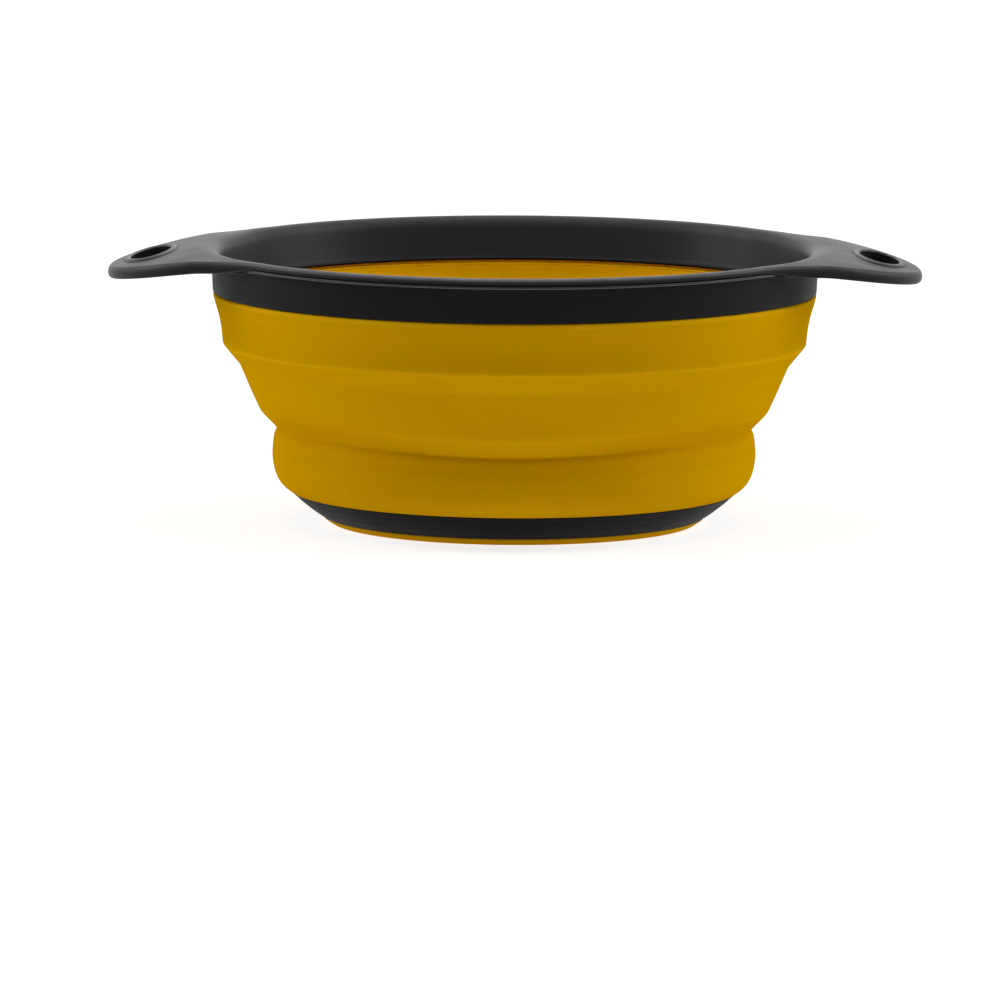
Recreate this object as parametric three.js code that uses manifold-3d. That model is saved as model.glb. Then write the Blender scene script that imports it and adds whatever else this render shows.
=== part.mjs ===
// A collapsible colander: a dark rim with two handles, a soft silicone wall that
// folds down between its two creases, and a dark drain base on a silicone foot.
// Millimetres, +Z up. The origin is on the axis, at the bottom of the foot, and
// the handles point along +X and -X.

import * as THREE from "three";
import { mergeVertices } from "three/addons/utils/BufferGeometryUtils.js";
import Module from "manifold-3d";

// General
const facets = 60;
const curveSteps = 4;
const mergeDistance = 0.001;
const clearance = 0.3;
const siliconeWall = 2.5;

// Foot: a flat silicone ring under the base
const footHeight = 2.55;
const footInset = 3.2;
const footWidth = 10.9;
const footFlare = 2;

// Base ring: a dark cone that opens upwards, with a flat flange inside its bottom edge
const baseRingRadius = 75.2;
const baseRingFlare = 12;
const baseRingHeight = 9.55;
const baseRingWall = 2;
const baseFlangeWidth = 13;
const baseFlangeThickness = 2.2;

// Belly: the lower silicone wall, with a tongue that the base ring and drain plate clamp
const bellyHeight = 24;
const bellyBulgeHeight = 15;
const bellyBulge = 7.2;
const creaseDepth = 2;
const creaseLipHeight = 2.2;
const bellyTongue = 1.8;
const bellyTongueLength = 8;

// Drain plate: a dish with rings of round holes in its floor
const plateThickness = 2.2;
const plateRimWall = 2;
const plateRimLength = 14.7;
const drainHoleRadius = 3;
const drainHoleMargin = 4;
const drainRingPitch = 12.5;
const drainHolesPerRing = 6;
const drainHoleFacets = 8;

// Folding wall: nested silicone hoops that slide past one another when the wall collapses
const foldHeight = 31.2;
const foldWidth = 19.3;
const foldStepHeight = 5.2;
const foldStepDepth = 5.1;
const foldFootRise = 5.6;
const foldFootFlare = 2.6;
const hoopCount = 6;
const hoopLap = 3;
const hoopEdge = 0.7;

// Upper wall: the silicone band between the upper fold and the rim
const upperFoldRound = 1;
const upperFoldRoundHeight = 2.6;
const upperWallHeight = 23;
const upperWallFlare = 3.7;
const upperTongueHeight = 6.4;

// Skirt: the outer band of the rim
const skirtHeight = 12.8;
const skirtWall = 1.8;
const skirtTopWall = 1.2;
const skirtTaper = 0.5;

// Rim: the lip and the funnel inside it, moulded with the handles
const channelWidth = 2.8;
const funnelWall = 1.8;
const neckWall = 1.5;
const lipThickness = 4.1;
const lipFillet = 3.1;
const lipOverhang = 2.7;

// Handles: a broad rounded tab at each end, with a hanging slot in a raised bead
const handleReach = 37.8;
const handleHalfWidth = 64;
const handleRootDepth = 39.5;
const handleBlend = 14;
const handleThickness = 5.1;
const handleDroop = 8.2;
const handleDroopPower = 1.3;
const handleArch = 2.4;
const handleRun = 8;
const handleStations = 3;
const slotTipDistance = 16.7;
const slotLength = 40;
const slotWidth = 15.6;
const slotEndFacets = 12;
const slotBeadWidth = 2;
const slotBeadHeight = 1;

// Heights of the joints between the pieces
const baseRingBottom = footHeight + clearance;
const baseRingTop = baseRingBottom + baseRingHeight;
const creaseZ = baseRingTop + bellyHeight;
const bulgeZ = baseRingTop + bellyBulgeHeight;
const upperFoldZ = creaseZ + foldHeight;
const skirtBottom = upperFoldZ + upperWallHeight;
const skirtTop = skirtBottom + skirtHeight;
const lipUnderside = skirtTop + clearance;
const lipTop = lipUnderside + lipThickness;

// Radii of the base and wall, worked outwards from the base ring
const footRadius = baseRingRadius - footInset;
const bellyRadius = baseRingRadius + baseRingFlare + bellyBulge;
const upperFoldRadius = bellyRadius + foldWidth;

// Radii of the rim, worked inwards from the skirt, and then outwards to the handles' tips
const skirtBottomRadius = upperFoldRadius + upperWallFlare + clearance;
const skirtTopRadius = skirtBottomRadius + skirtTaper;
const skirtInnerBottom = skirtBottomRadius - skirtWall;
const skirtInnerTop = skirtTopRadius - skirtTopWall;
const funnelOuterBottom = skirtInnerBottom - channelWidth;
const funnelRadius = funnelOuterBottom - funnelWall;
const neckOuter = skirtInnerTop - clearance;
const neckInner = neckOuter - neckWall;
const crownRadius = neckInner + lipFillet;
const lipRadius = skirtTopRadius + lipOverhang;
const tipRadius = lipRadius + handleReach;

const silicone = { color: 0xb88a06, roughness: 0.62, metalness: 0 };
const darkPlastic = { color: 0x343436, roughness: 0.45, metalness: 0 };

const wasm = await Module();
wasm.setup();

const colander = new THREE.Group();

function addPiece(name, geometry, finish) {
  const mesh = new THREE.Mesh(geometry, new THREE.MeshStandardMaterial(finish));
  mesh.name = name;
  colander.add(mesh);
}

// A point of a section: distance from the axis, and height.
function at(radius, height) {
  return new THREE.Vector2(radius, height);
}

// A ring turned from a section, whose points run up its outside and down its inside.
function turn(section) {
  return new THREE.LatheGeometry(section, facets).rotateX(Math.PI / 2);
}

function turnClosed(section) {
  return turn([...section, section[0]]);
}

function toSolid(geometry) {
  const bare = geometry.clone();
  bare.deleteAttribute("normal");
  bare.deleteAttribute("uv");
  const merged = mergeVertices(bare, mergeDistance);
  const vertProperties = merged.attributes.position.array;
  const triVerts = new Uint32Array(merged.index.array);
  return new wasm.Manifold(new wasm.Mesh({ numProp: 3, vertProperties, triVerts }));
}

function toGeometry(solid) {
  const { vertProperties, triVerts } = solid.getMesh();
  const geometry = new THREE.BufferGeometry();
  geometry.setAttribute("position", new THREE.BufferAttribute(vertProperties, 3));
  return geometry.setIndex(new THREE.BufferAttribute(triVerts, 1));
}

// A value that changes evenly from one place to another, read at a place between them.
function evenly(lowValue, highValue, low, high, place) {
  return lowValue + ((highValue - lowValue) * (place - low)) / (high - low);
}

// Foot
const footSection = [
  at(footRadius - footWidth, 0),
  at(footRadius, 0),
  at(footRadius + footFlare, footHeight),
  at(footRadius - footWidth, footHeight),
];
addPiece("foot_ring", turnClosed(footSection), silicone);

// Base ring, belly tongue and drain plate rim lie side by side on one cone.
const coneLength = Math.hypot(baseRingFlare, baseRingHeight);
const coneOut = baseRingFlare / coneLength;
const coneUp = baseRingHeight / coneLength;

// A point on the cone: a distance up its slope, and a depth in from the ring's outer face.
function onCone(along, depth) {
  const radius = baseRingRadius + along * coneOut - depth * coneUp;
  return at(radius, baseRingBottom + along * coneUp + depth * coneOut);
}

// The same, where the slope at that depth reaches a given height.
function onConeAtHeight(height, depth) {
  return onCone((height - baseRingBottom - depth * coneOut) / coneUp, depth);
}

const baseFlangeTop = baseRingBottom + baseFlangeThickness;
const baseFlangeRadius = baseRingRadius - baseFlangeWidth;
const baseRingSection = [
  at(baseFlangeRadius, baseRingBottom),
  at(baseRingRadius, baseRingBottom),
  onCone(coneLength, 0),
  onCone(coneLength, baseRingWall),
  onConeAtHeight(baseFlangeTop, baseRingWall),
  at(baseFlangeRadius, baseFlangeTop),
];
addPiece("base_ring", turnClosed(baseRingSection), darkPlastic);

// Drain plate
const tongueOuter = baseRingWall + clearance;
const tongueInner = tongueOuter + bellyTongue;
const plateOuter = tongueInner + clearance;
const plateInner = plateOuter + plateRimWall;
const plateBottom = baseFlangeTop + clearance;
const plateTop = plateBottom + plateThickness;
const drainFieldRadius = baseFlangeRadius - drainHoleMargin - drainHoleRadius;
const drainRings = Math.floor(drainFieldRadius / drainRingPitch);

// A hole through the plate's floor, twice as long as the floor is thick.
function drainHole(radius, angle) {
  const length = 2 * plateThickness;
  const hole = new THREE.CylinderGeometry(drainHoleRadius, drainHoleRadius, length, drainHoleFacets);
  hole.rotateX(Math.PI / 2);
  hole.translate(radius * Math.cos(angle), radius * Math.sin(angle), (plateBottom + plateTop) / 2);
  return toSolid(hole);
}

function drainPlate() {
  const section = [
    at(0, plateBottom),
    onConeAtHeight(plateBottom, plateOuter),
    onCone(plateRimLength, plateOuter),
    onCone(plateRimLength, plateInner),
    onConeAtHeight(plateTop, plateInner),
    at(0, plateTop),
  ];
  let plate = toSolid(turn(section)).subtract(drainHole(0, 0));
  for (let ring = 1; ring <= drainRings; ring++) {
    const holes = ring * drainHolesPerRing;
    for (let hole = 0; hole < holes; hole++) {
      const angle = (2 * Math.PI * hole) / holes;
      plate = plate.subtract(drainHole(ring * drainRingPitch, angle));
    }
  }
  return toGeometry(plate);
}
addPiece("drain_plate", drainPlate(), darkPlastic);

// Belly wall: from the tongue up round the bulge to the crease, and a short lip above it
const creaseRadius = bellyRadius - creaseDepth;
const lowerEdge = onCone(coneLength + clearance, 0);
const innerEdge = onCone(coneLength + clearance, tongueInner);

function bellyWall() {
  const tongueEnd = coneLength - bellyTongueLength;
  const bulgeStart = lowerEdge.y + (bellyRadius - lowerEdge.x);
  const innerStart = innerEdge.y + (bellyRadius - siliconeWall - innerEdge.x);
  const upperBulge = (bulgeZ + creaseZ) / 2;
  const innerRadius = bellyRadius - siliconeWall;
  const collarTop = creaseZ + creaseLipHeight + hoopLap;
  const outside = new THREE.Path()
    .moveTo(lowerEdge.x, lowerEdge.y)
    .quadraticCurveTo(bellyRadius, bulgeStart, bellyRadius, bulgeZ)
    .quadraticCurveTo(bellyRadius, upperBulge, creaseRadius, creaseZ)
    .lineTo(bellyRadius, creaseZ + creaseLipHeight)
    .lineTo(bellyRadius, collarTop)
    .getPoints(curveSteps);
  const inside = new THREE.Path()
    .moveTo(innerRadius, collarTop)
    .lineTo(innerRadius, creaseZ + creaseLipHeight)
    .lineTo(creaseRadius - siliconeWall, creaseZ)
    .quadraticCurveTo(innerRadius, upperBulge, innerRadius, bulgeZ)
    .quadraticCurveTo(innerRadius, innerStart, innerEdge.x, innerEdge.y)
    .getPoints(curveSteps);
  const tongue = [
    onCone(tongueEnd, tongueInner),
    onCone(tongueEnd, tongueOuter),
    onCone(coneLength + clearance, tongueOuter),
  ];
  return turnClosed([...outside, ...inside, ...tongue]);
}
addPiece("belly_wall", bellyWall(), silicone);

// Folding wall: its outer face steps in under the upper fold, then slopes down to the crease.
const stepRadius = upperFoldRadius - upperFoldRound - foldStepDepth;
const foldFace = [
  at(upperFoldRadius - upperFoldRound, upperFoldZ),
  at(stepRadius, upperFoldZ - foldStepHeight),
  at(bellyRadius + foldFootFlare, creaseZ + foldFootRise),
  at(bellyRadius, creaseZ + creaseLipHeight),
];

function foldFaceHeight(radius) {
  const upper = foldFace.findLastIndex((corner) => corner.x > radius);
  const high = foldFace[upper];
  const low = foldFace[upper + 1];
  return evenly(low.y, high.y, low.x, high.x, radius);
}

// Each hoop keeps to its own radii, so that it clears its neighbours wherever it slides.
const upperWallInner = upperFoldRadius - upperFoldRound - siliconeWall;
const hoopsOuter = upperWallInner - clearance;
const hoopsInner = bellyRadius + clearance;
const hoopPitch = (hoopsOuter - hoopsInner + clearance) / hoopCount;

function hoop(index) {
  const outer = hoopsOuter - index * hoopPitch;
  const inner = outer - hoopPitch + clearance;
  const shoulder = foldFaceHeight(outer);
  const bottom = foldFaceHeight(inner + hoopEdge);
  const section = [
    at(inner, bottom),
    at(inner + hoopEdge, bottom),
    at(outer, shoulder),
    at(outer, shoulder + hoopLap),
    at(inner, shoulder + hoopLap),
  ];
  return turnClosed(section);
}
for (let index = 0; index < hoopCount; index++) {
  addPiece(`fold_hoop_${index + 1}`, hoop(index), silicone);
}

// The rim's channel narrows upwards between the funnel and the skirt.
function funnelOuterAt(height) {
  return evenly(funnelOuterBottom, neckOuter, skirtBottom, skirtTop, height);
}

function skirtInnerAt(height) {
  return evenly(skirtInnerBottom, skirtInnerTop, skirtBottom, skirtTop, height);
}

// Upper wall: from the fold up to the skirt, with a tongue in the rim's channel
function upperWall() {
  const wallTop = skirtBottom - clearance;
  const wallTopRadius = skirtBottomRadius - clearance;
  const tongueTop = skirtBottom + upperTongueHeight;
  const waistZ = upperFoldZ + upperFoldRoundHeight;
  const bendZ = (waistZ + wallTop) / 2;
  const outside = new THREE.Path()
    .moveTo(upperFoldRadius - upperFoldRound, upperFoldZ)
    .lineTo(upperFoldRadius, waistZ)
    .quadraticCurveTo(upperFoldRadius, bendZ, wallTopRadius, wallTop)
    .getPoints(curveSteps);
  const tongue = [
    at(skirtInnerAt(skirtBottom) - clearance, wallTop),
    at(skirtInnerAt(tongueTop) - clearance, tongueTop),
    at(funnelOuterAt(tongueTop) + clearance, tongueTop),
  ];
  const inside = new THREE.Path()
    .moveTo(funnelOuterAt(skirtBottom) + clearance, wallTop)
    .quadraticCurveTo(upperWallInner, bendZ, upperWallInner, waistZ)
    .lineTo(upperWallInner, upperFoldZ)
    .getPoints(curveSteps);
  return turnClosed([...outside, ...tongue, ...inside]);
}
addPiece("upper_wall", upperWall(), silicone);

// Skirt
const skirtSection = [
  at(skirtInnerBottom, skirtBottom),
  at(skirtBottomRadius, skirtBottom),
  at(skirtTopRadius, skirtTop),
  at(skirtInnerTop, skirtTop),
];
addPiece("skirt_ring", turnClosed(skirtSection), darkPlastic);

// Distance from the axis, in one direction, to the handle's outline: an ellipse whose centre
// lies inside the rim.
function handleOutline(angle) {
  const root = lipRadius - handleRootDepth;
  const length = tipRadius - root;
  const out = Math.abs(Math.cos(angle)) / length;
  const across = Math.sin(angle) / handleHalfWidth;
  const square = out * out + across * across;
  const middle = (out * root) / length / square;
  const spread = middle * middle - ((root / length) ** 2 - 1) / square;
  return middle + Math.sqrt(Math.max(0, spread));
}

// How far the rim's edge reaches past its lip in one direction, with a smooth run into the handle.
function edgeReach(angle) {
  const past = handleOutline(angle) - lipRadius;
  const near = Math.max(0, handleBlend - Math.abs(past)) / handleBlend;
  return Math.max(0, past) + (near * near * handleBlend) / 4;
}

// The rim's section: up the funnel's outer face, round the lip and down its inner face
function rimSection() {
  const roundStart = lipRadius - lipThickness / 2;
  const lipMiddle = lipUnderside + lipThickness / 2;
  const stations = (height, from, to) =>
    Array.from({ length: handleStations }, (_, i) =>
      at(from + ((to - from) * i) / handleStations, height),
    );
  const edge = new THREE.Path()
    .moveTo(roundStart, lipUnderside)
    .quadraticCurveTo(lipRadius, lipUnderside, lipRadius, lipMiddle)
    .quadraticCurveTo(lipRadius, lipTop, roundStart, lipTop)
    .getPoints(curveSteps / 2);
  const fillet = new THREE.Path()
    .moveTo(crownRadius, lipTop)
    .quadraticCurveTo(neckInner, lipTop, neckInner, lipUnderside)
    .getPoints(curveSteps);
  return [
    at(funnelRadius, skirtBottom),
    at(funnelOuterBottom, skirtBottom),
    at(neckOuter, skirtTop),
    at(neckOuter, lipUnderside),
    ...stations(lipUnderside, crownRadius, roundStart),
    ...edge,
    ...stations(lipTop, crownRadius, roundStart).slice(1).reverse(),
    ...fillet,
  ];
}

// The turned rim, with the flange outside its crown drawn out into the handles, which are
// thicker than the lip, droop towards their tips and arch down towards their sides.
function rimWithHandles() {
  const rim = turnClosed(rimSection());
  const flangeWidth = lipRadius - lipThickness / 2 - crownRadius;
  const thickening = handleThickness / lipThickness - 1;
  const position = rim.attributes.position;
  const point = new THREE.Vector3();
  for (let i = 0; i < position.count; i++) {
    point.fromBufferAttribute(position, i);
    const radius = Math.hypot(point.x, point.y);
    const share = THREE.MathUtils.clamp((radius - crownRadius) / flangeWidth, 0, 1);
    const reach = share * edgeReach(Math.atan2(point.y, point.x));
    const x = point.x * (1 + reach / radius);
    const y = point.y * (1 + reach / radius);
    const out = Math.max(0, Math.abs(x) - crownRadius) / (tipRadius - crownRadius);
    const run = Math.min(1, reach / handleRun);
    const depth = (lipTop - point.z) * (1 + thickening * run);
    const arch = handleArch * run * (y / handleHalfWidth) ** 2;
    position.setXYZ(i, x, y, lipTop - depth - handleDroop * out ** handleDroopPower - arch);
  }
  return toSolid(rim);
}

// An upright prism with the slot's rounded outline, grown by a margin, that passes right
// through one handle.
function slotPrism(side, margin) {
  const radius = slotWidth / 2 + margin;
  const straight = (slotLength - slotWidth) / 2;
  const centre = side * (tipRadius - slotTipDistance);
  const depth = 2 * (handleDroop + handleArch + handleThickness);
  const outline = new THREE.Shape()
    .absarc(centre, straight, radius, 0, Math.PI)
    .absarc(centre, -straight, radius, Math.PI, 2 * Math.PI);
  const prism = new THREE.ExtrudeGeometry(outline, {
    depth,
    bevelEnabled: false,
    curveSegments: slotEndFacets,
  });
  return toSolid(prism.translate(0, 0, lipTop - depth / 2));
}

function rimFrame() {
  const rim = rimWithHandles();
  let frame = rim;
  for (const side of [1, -1]) {
    const bead = rim.translate([0, 0, slotBeadHeight]).intersect(slotPrism(side, slotBeadWidth));
    frame = frame.add(bead).subtract(slotPrism(side, 0));
  }
  return toGeometry(frame);
}
addPiece("rim_frame", rimFrame(), darkPlastic);

export default colander;
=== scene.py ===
"""Looks of the collapsible colander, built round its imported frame: the folding silicone wall, the dark rim
with its slotted handles, the drain base and the foot. Lengths are in millimetres until a mesh is made."""

import math

import bmesh
import bpy
import numpy as np
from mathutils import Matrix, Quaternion, Vector


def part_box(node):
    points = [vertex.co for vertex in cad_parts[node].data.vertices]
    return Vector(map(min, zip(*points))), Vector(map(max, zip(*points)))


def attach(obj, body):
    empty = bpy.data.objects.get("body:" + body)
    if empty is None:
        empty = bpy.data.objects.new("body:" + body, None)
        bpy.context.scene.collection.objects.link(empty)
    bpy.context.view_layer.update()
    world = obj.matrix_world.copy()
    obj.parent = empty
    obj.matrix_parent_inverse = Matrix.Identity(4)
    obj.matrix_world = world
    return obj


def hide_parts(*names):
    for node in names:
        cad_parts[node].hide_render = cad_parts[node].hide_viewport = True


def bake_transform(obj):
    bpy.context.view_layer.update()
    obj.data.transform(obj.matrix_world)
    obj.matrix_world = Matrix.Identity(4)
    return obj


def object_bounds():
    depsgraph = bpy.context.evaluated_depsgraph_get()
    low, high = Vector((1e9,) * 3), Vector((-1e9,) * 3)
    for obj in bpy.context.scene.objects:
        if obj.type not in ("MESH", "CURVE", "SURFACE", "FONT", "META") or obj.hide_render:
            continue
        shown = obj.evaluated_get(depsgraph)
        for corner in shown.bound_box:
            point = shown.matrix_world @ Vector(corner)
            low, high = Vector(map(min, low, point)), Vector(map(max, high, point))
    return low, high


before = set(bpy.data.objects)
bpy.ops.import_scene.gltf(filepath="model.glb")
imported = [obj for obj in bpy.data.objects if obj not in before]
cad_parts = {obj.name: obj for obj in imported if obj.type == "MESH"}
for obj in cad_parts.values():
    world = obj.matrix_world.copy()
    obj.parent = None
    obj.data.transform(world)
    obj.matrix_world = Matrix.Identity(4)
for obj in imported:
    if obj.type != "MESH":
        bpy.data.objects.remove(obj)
cad_low, cad_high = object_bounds()

MM = 0.001
MERGE = 0.0005


def extent(node):
    """A frame node's widest radius across the bowl, and its lowest and highest point."""
    low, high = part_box(node)
    return high.y / MM, low.z / MM, high.z / MM


# Sizes read from the frame
FOOT_RADIUS, FOOT_BOTTOM, FOOT_TOP = extent("foot_ring")
BASE_RADIUS, BASE_BOTTOM = extent("base_ring")[:2]
PLATE_BOTTOM = extent("drain_plate")[1]
BELLY_RADIUS = extent("belly_wall")[0]
WALL_TOP_RADIUS, FOLD_Z, TONGUE_TOP = extent("upper_wall")
SKIRT_RADIUS, SKIRT_BOTTOM = extent("skirt_ring")[:2]
LIP_RADIUS, FUNNEL_FOOT, LIP_TOP = extent("rim_frame")
TIP_RADIUS = cad_high.x / MM

# Foot and base
FOOT_WIDTH = 12.9
FOOT_SLANT = 2.6
FOOT_LIP = 1.7
BASE_CONE_FOOT = 75.2
BASE_CONE_TOP = 12.4
BASE_WALL = 2.0
BASE_FLANGE = 13.0
BASE_FLANGE_THICKNESS = 2.2
BASE_BULGE = 0.35
TONGUE_START = 2.3
TONGUE_END = 4.1
PLATE_DEPTH = 4.4
PLATE_WALL = 2.0
PLATE_THICKNESS = 2.2
PLATE_RIM_LENGTH = 14.7
HOLE_RADIUS = 3.0
HOLE_EDGE = 0.45
HOLE_EDGE_POINTS = 5
HOLE_RING_PITCH = 12.5
HOLE_RINGS = 4
HOLES_PER_RING = 6
PLATE_TURNS = 144
CELL_SIDE_STEPS = 5

# Silicone wall
WALL_TOP = SKIRT_BOTTOM - 0.3
WALL_SEAM = 0.3
FOLD_RADIUS = SKIRT_RADIUS - 4.4
STEP_RADIUS = FOLD_RADIUS - 6.6
CREASE_Z = 36.4
CREASE_RADIUS = 92.4
FOLD_ROUNDING = 2.8
STEP_ROUNDING = 3.5
SLOPE_ROUNDING = 10.0
WALL_THICKNESS = 2.4
FOLD_THICKNESS = 1.7
END_THICKNESS = 4.1
# How far from each fold and each clamped end the wall's thickness differs
FOLD_REACH = 4.0
CREASE_REACH = 3.0
TOP_REACH = 5.0
FOOT_REACH = 3.0
TONGUE_INSET = 2.2
TONGUE_ROOT_INSET = 2.8
WALL_POINTS = 110
BELLY_POINTS = 50
FOLD_WAVE = 0.3
FOLD_LOBE = 1.6
SLACK_RISE = 4.0
SLACK_REACH = 7.0

# Rim and handles
FUNNEL_FOOT_RADIUS = 111.1
FUNNEL_WALL = 1.8
# Share of the funnel's face that lies above the rounding of its foot
FUNNEL_FACE_SHARE = 0.93
NECK_OUTER = 116.7
NECK_TOP_RADIUS = 115.6
NECK_BEVEL = 0.6
LIP_THICKNESS = 2.9
HANDLE_THICKNESS = 4.9
HANDLE_THICKNESS_RUN = 4.0
FILLET_OUT = 2.9
FILLET_DOWN = 4.2
HANDLE_FILLET_OUT = 4.0
HANDLE_FILLET_DOWN = 0.5
HANDLE_ROOT_RUN = 6.0
# Share of the slot's outline that faces the handle's outer edge
SLOT_OUTER_SHARE = 0.75
FLAT_START = 118.3
FLAT_WIDTH = 0.55
HANDLE_HALF_WIDTH = 64.0
HANDLE_ROOT_DEPTH = 39.5
HANDLE_BLEND = 14.0
HANDLE_DROOP = 8.2
HANDLE_DROOP_POWER = 1.3
HANDLE_ARCH = 2.4
HANDLE_ARCH_RUN = 10.0
SOFT_START = 3.0
SLOPE_STEP = 0.3
SLOT_TIP_DISTANCE = 16.7
SLOT_LENGTH = 39.0
SLOT_WIDTH = 15.4
BEAD_WIDTH = 2.4
BEAD_HEIGHT = 1.0
GROOVE_WIDTH = 0.5
GROOVE_DEPTH = 0.3
COLLAR = 3.2
SLOT_EDGE = 0.8
RIM_TURNS = 600
HANDLE_ANGLE = math.radians(30)
LIP_STEPS = 6
HANDLE_STEPS = 16
EDGE_STEPS = 10
FUNNEL_STEPS = 16
FUNNEL_FACE_POINTS = 8
FUNNEL_FOOT_POINTS = 7
BEAD_POINTS = 11
GROOVE_POINTS = 7
SLOT_EDGE_POINTS = 5
# A slot's faces with painted shade lie within this share of its oval, and the funnel's within this height of
# its foot
SLOT_SHADE = 1.005
FOOT_SHADE = 1.2

# Skirt
SKIRT_LEDGE_TOP = LIP_TOP - LIP_THICKNESS - 0.12
SKIRT_LEDGE_RADIUS = LIP_RADIUS - 0.2
SKIRT_LEDGE_ROOT = SKIRT_LEDGE_TOP - 1.4
SKIRT_LEDGE_EDGE = SKIRT_LEDGE_TOP - 0.8
SKIRT_LEDGE_FACES = SKIRT_LEDGE_TOP - 1.0
SKIRT_FOOT_RADIUS = SKIRT_RADIUS - 0.5
SKIRT_WALL = 1.8
SKIRT_TOP_WALL = 1.2

# Meshes
TURNS = 300
# Distance from a hole's wall to the flat row beside its rounded edge, in roundings
SUPPORT_SHARE = 1.5
# Radius in metres whose curvature counts as a full edge, and how often thin traces are lowered
EDGE_REACH = 0.002
EDGE_PASSES = 3
# Share of an edge's painted highlight that shows on an upright face, and what is added as the face turns
# upwards
UPRIGHT_EDGE = 0.2
UPWARD_EDGE = 1.6


def unit(vectors):
    """The same vectors at length one."""
    return vectors / np.linalg.norm(vectors, axis=-1, keepdims=True)


def grid_faces(rows, columns, join_rows=False, join_columns=False, first=0):
    """Quads between neighbouring points of a grid that is numbered row by row from first; a joined
    direction also has quads from its last line back to its first."""
    row = np.arange(rows if join_rows else rows - 1)[:, None]
    column = np.arange(columns if join_columns else columns - 1)[None, :]
    next_row = (row + 1) % rows
    next_column = (column + 1) % columns
    corners = [
        row * columns + column,
        next_row * columns + column,
        next_row * columns + next_column,
        row * columns + next_column,
    ]
    return first + np.stack(np.broadcast_arrays(*corners), axis=-1).reshape(-1, 4)


class Surface:
    """Grids of points and their quads, gathered until they become one mesh."""

    def __init__(self):
        self.points = []
        self.faces = []
        self.count = 0

    def add(self, grid, join_rows=False, join_columns=False):
        """Adds a grid of shape (rows, columns, 3)."""
        rows, columns = grid.shape[:2]
        self.points.append(grid.reshape(-1, 3))
        self.faces.append(grid_faces(rows, columns, join_rows, join_columns, self.count))
        self.count += rows * columns

    def mesh(self, name):
        """One mesh of all grids in metres, with shared borders merged and faces turned outwards."""
        mesh = bpy.data.meshes.new(name)
        points = np.concatenate(self.points) * MM
        mesh.from_pydata(points, [], np.concatenate(self.faces).tolist())
        work = bmesh.new()
        work.from_mesh(mesh)
        bmesh.ops.remove_doubles(work, verts=work.verts, dist=MERGE * MM)
        bmesh.ops.recalc_face_normals(work, faces=work.faces)
        work.to_mesh(mesh)
        work.free()
        mesh.polygons.foreach_set("use_smooth", np.ones(len(mesh.polygons), bool))
        return mesh


def mesh_edges(mesh, from_above):
    """Stores how sharply each vertex stands out, as edge, and how deeply it lies in, as hollow. Both come
    from the mean of 2 n.(p - q) / |p - q|^2 over the neighbours q of a vertex p with normal n, which is
    the surface's curvature in units of one over metres. A value that its neighbours don't share is a
    trace of the mesh and is lowered to their mean. With from_above, edges that face down fade."""
    points = np.empty(3 * len(mesh.vertices), np.float32)
    mesh.vertices.foreach_get("co", points)
    points = points.reshape(-1, 3).astype(float)
    normals = np.empty(3 * len(mesh.vertices), np.float32)
    mesh.vertex_normals.foreach_get("vector", normals)
    normals = normals.reshape(-1, 3).astype(float)
    pairs = np.empty(2 * len(mesh.edges), np.int32)
    mesh.edges.foreach_get("vertices", pairs)
    here, there = pairs.reshape(-1, 2).T
    here, there = np.concatenate([here, there]), np.concatenate([there, here])
    away = points[here] - points[there]
    bend = 2 * np.sum(normals[here] * away, axis=1) / np.maximum(np.sum(away * away, axis=1), 1e-12)
    count = np.maximum(np.bincount(here, minlength=len(points)), 1)
    curvature = np.bincount(here, weights=bend, minlength=len(points)) / count
    # With from_above, the painted highlight fades on edges that face down, as if lit from above.
    share = np.clip(UPRIGHT_EDGE + UPWARD_EDGE * normals[:, 2], 0, 1) if from_above else 1
    for name, value in (("edge", curvature * share), ("hollow", -curvature)):
        shown = np.clip(value * EDGE_REACH, 0, 1)
        for _ in range(EDGE_PASSES):
            beside = np.bincount(here, weights=shown[there], minlength=len(points)) / count
            shown = np.minimum(shown, beside)
        attribute = mesh.attributes.new(name, "FLOAT", "POINT")
        attribute.data.foreach_set("value", shown.astype(np.float32))


def piece(name, surface, material, replaced, from_above=False):
    """A scene object for a finished surface that stands for some frame nodes."""
    thing = bpy.data.objects.new(name, surface.mesh(name))
    bpy.context.scene.collection.objects.link(thing)
    thing.data.materials.append(material)
    mesh_edges(thing.data, from_above)
    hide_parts(*replaced)
    return thing


def corner_arcs(corners, before, after, steps):
    """Circular arcs that round off corners of (radius, height, rounding) between two directions, one row of
    points for each corner: an arc's points turn evenly about its centre."""
    points, rounding = corners[:, :2], corners[:, 2:]
    half = np.arccos(np.clip(np.sum(before * after, axis=1, keepdims=True), -1, 1)) / 2
    cut = rounding / np.tan(half)
    centre = points + unit(before + after) * rounding / np.sin(half)
    start = points + before * cut - centre
    end = points + after * cut - centre
    turn = math.pi - 2 * half[:, None]
    share = np.linspace(0, 1, steps + 1)[None, :, None]
    arc = np.sin((1 - share) * turn) * start[:, None] + np.sin(share * turn) * end[:, None]
    return centre[:, None] + arc / np.sin(turn)


def rounded(corners, steps=5, support=0.4):
    """A closed section from corners of (radius, height, rounding): each corner becomes an arc that touches
    both of its sides, with one more point on each side a little way past the arc."""
    corners = np.array(corners, float)
    points = corners[:, :2]
    before = unit(np.roll(points, 1, axis=0) - points)
    after = unit(np.roll(points, -1, axis=0) - points)
    arcs = corner_arcs(corners, before, after, steps)
    margin = np.minimum(corners[:, 2:] * support, support)
    early = arcs[:, 0] + before * margin
    late = arcs[:, -1] + after * margin
    return np.concatenate([early[:, None], arcs, late[:, None]], axis=1).reshape(-1, 2)


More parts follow.
